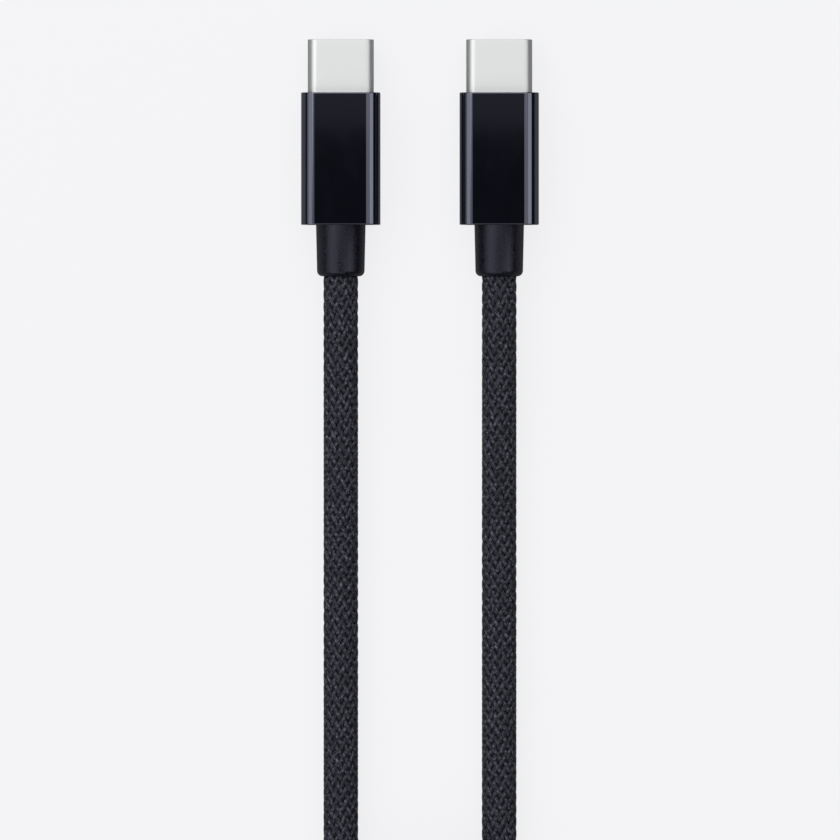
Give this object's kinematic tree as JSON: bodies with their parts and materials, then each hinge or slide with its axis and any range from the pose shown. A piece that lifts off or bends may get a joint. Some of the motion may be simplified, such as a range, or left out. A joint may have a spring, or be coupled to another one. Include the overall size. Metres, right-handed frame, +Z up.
{
  "type": "charging cable",
  "caption": "Charging cable with a reversible connector plug at each end, glossy housings, short strain-relief boots and a braided cord whose spare length is folded into a tied hank.",
  "frame": {"origin": "middle of the two plugs, which lie side by side, on the surface that they lie on", "axes": "+Y from the cord towards the tips of the metal shells, +Z up from the surface, +X to the right plug"},
  "size_m": [0.0382, 0.1866, 0.0138],
  "materials": {
    "shell_steel": "satin bright",
    "housing_plastic": "high gloss",
    "boot_rubber": "matte",
    "insulator_plastic": "matte",
    "contact_metal": "gold plated",
    "block_plastic": "matte",
    "spring_steel": "satin",
    "board": "satin solder mask",
    "chip": "matte",
    "capacitor": "matte",
    "shield_steel": "satin",
    "crimp_brass": "satin",
    "mould_plastic": "matte",
    "cord_fabric": "woven",
    "power_insulation": "matte",
    "ground_insulation": "matte",
    "control_insulation": "matte",
    "data_insulation": "matte",
    "strap_fabric": "woven"
  },
  "bodies": {
    "cable": {"left_plug_metal_shell": "shell_steel", "left_plug_housing": "housing_plastic", "left_plug_boot": "boot_rubber", "left_plug_insulator": "insulator_plastic", "left_plug_upper_contacts": "contact_metal", "left_plug_lower_contacts": "contact_metal", "left_plug_upper_contact_block": "block_plastic", "left_plug_lower_contact_block": "block_plastic", "left_plug_latch_plate": "spring_steel", "left_plug_upper_ground_spring": "spring_steel", "left_plug_lower_ground_spring": "spring_steel", "left_plug_circuit_board": "board", "left_plug_controller_chip": "chip", "left_plug_board_capacitors": "capacitor", "left_plug_upper_shield_can": "shield_steel", "left_plug_lower_shield_can": "shield_steel", "left_plug_crimp_ferrule": "crimp_brass", "left_plug_inner_mould": "mould_plastic", "left_plug_cord_end": "cord_fabric", "left_plug_power_wire": "power_insulation", "left_plug_ground_wire": "ground_insulation", "left_plug_control_wire": "control_insulation", "left_plug_data_wires": "data_insulation", "right_plug_metal_shell": "shell_steel", "right_plug_housing": "housing_plastic", "right_plug_boot": "boot_rubber", "right_plug_insulator": "insulator_plastic", "right_plug_upper_contacts": "contact_metal", "right_plug_lower_contacts": "contact_metal", "right_plug_upper_contact_block": "block_plastic", "right_plug_lower_contact_block": "block_plastic", "right_plug_latch_plate": "spring_steel", "right_plug_upper_ground_spring": "spring_steel", "right_plug_lower_ground_spring": "spring_steel", "right_plug_circuit_board": "board", "right_plug_controller_chip": "chip", "right_plug_board_capacitors": "capacitor", "right_plug_upper_shield_can": "shield_steel", "right_plug_lower_shield_can": "shield_steel", "right_plug_crimp_ferrule": "crimp_brass", "right_plug_inner_mould": "mould_plastic", "right_plug_cord_end": "cord_fabric", "right_plug_power_wire": "power_insulation", "right_plug_ground_wire": "ground_insulation", "right_plug_control_wire": "control_insulation", "right_plug_data_wires": "data_insulation", "left_free_cord": "cord_fabric", "cord_hank": "cord_fabric", "right_free_cord": "cord_fabric", "cord_tie": "strap_fabric"},
    "left_plug_latch_arm_left": {"left_plug_latch_arm_left": "spring_steel"},
    "left_plug_latch_arm_right": {"left_plug_latch_arm_right": "spring_steel"},
    "right_plug_latch_arm_left": {"right_plug_latch_arm_left": "spring_steel"},
    "right_plug_latch_arm_right": {"right_plug_latch_arm_right": "spring_steel"}
  },
  "joints": [
    {"name": "left_plug_latch_arm_left_flex", "type": "hinge", "parent": "cable", "child": "left_plug_latch_arm_left", "pos_m": [-0.0134, 0.00675, 0.00315], "axis": [0, 0, 1], "range_deg": [0, 1.9], "stiffness_Nm_per_rad": 0.4},
    {"name": "left_plug_latch_arm_right_flex", "type": "hinge", "parent": "cable", "child": "left_plug_latch_arm_right", "pos_m": [-0.0064, 0.00675, 0.00315], "axis": [0, 0, -1], "range_deg": [0, 1.9], "stiffness_Nm_per_rad": 0.4},
    {"name": "right_plug_latch_arm_left_flex", "type": "hinge", "parent": "cable", "child": "right_plug_latch_arm_left", "pos_m": [0.0064, 0.00675, 0.00315], "axis": [0, 0, 1], "range_deg": [0, 1.9], "stiffness_Nm_per_rad": 0.4},
    {"name": "right_plug_latch_arm_right_flex", "type": "hinge", "parent": "cable", "child": "right_plug_latch_arm_right", "pos_m": [0.0134, 0.00675, 0.00315], "axis": [0, 0, -1], "range_deg": [0, 1.9], "stiffness_Nm_per_rad": 0.4}
  ]
}
